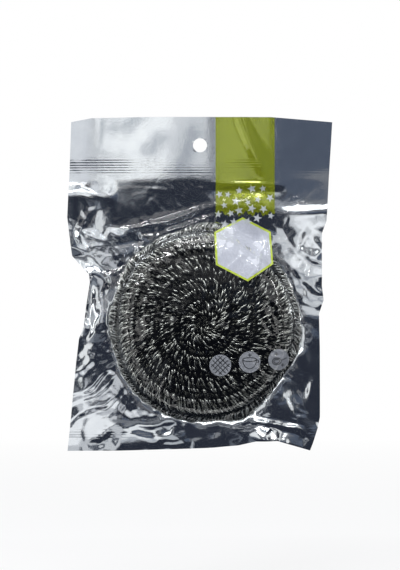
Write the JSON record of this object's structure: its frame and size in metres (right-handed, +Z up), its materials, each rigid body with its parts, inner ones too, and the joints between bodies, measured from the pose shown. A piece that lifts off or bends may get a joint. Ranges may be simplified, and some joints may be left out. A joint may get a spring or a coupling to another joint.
{
  "type": "pot scrubber",
  "caption": "Round steel wire pot scrubber sealed in a flat hang-sell pouch with a clear front film and a metallised back film.",
  "frame": {"origin": "centre of the hang hole, on the plane where the two films are sealed together", "axes": "+Z up the header as the pack hangs, -Y out of the clear front, +X to the right seen from the front"},
  "size_m": [0.151, 0.035, 0.1906],
  "materials": {
    "clear_film": "clear gloss",
    "metallised_film": "mirror-like, creased",
    "steel_wire": "dark drawn flat wire"
  },
  "bodies": {
    "root": {"front_film": "clear_film", "back_film": "metallised_film", "eye_strand_1": "steel_wire", "eye_strand_2": "steel_wire", "eye_strand_3": "steel_wire", "eye_strand_4": "steel_wire", "middle_strand_1": "steel_wire", "middle_strand_2": "steel_wire", "middle_strand_3": "steel_wire", "middle_strand_4": "steel_wire", "rim_strand_1": "steel_wire", "rim_strand_2": "steel_wire", "rim_strand_3": "steel_wire", "rim_strand_4": "steel_wire"}
  },
  "joints": []
}
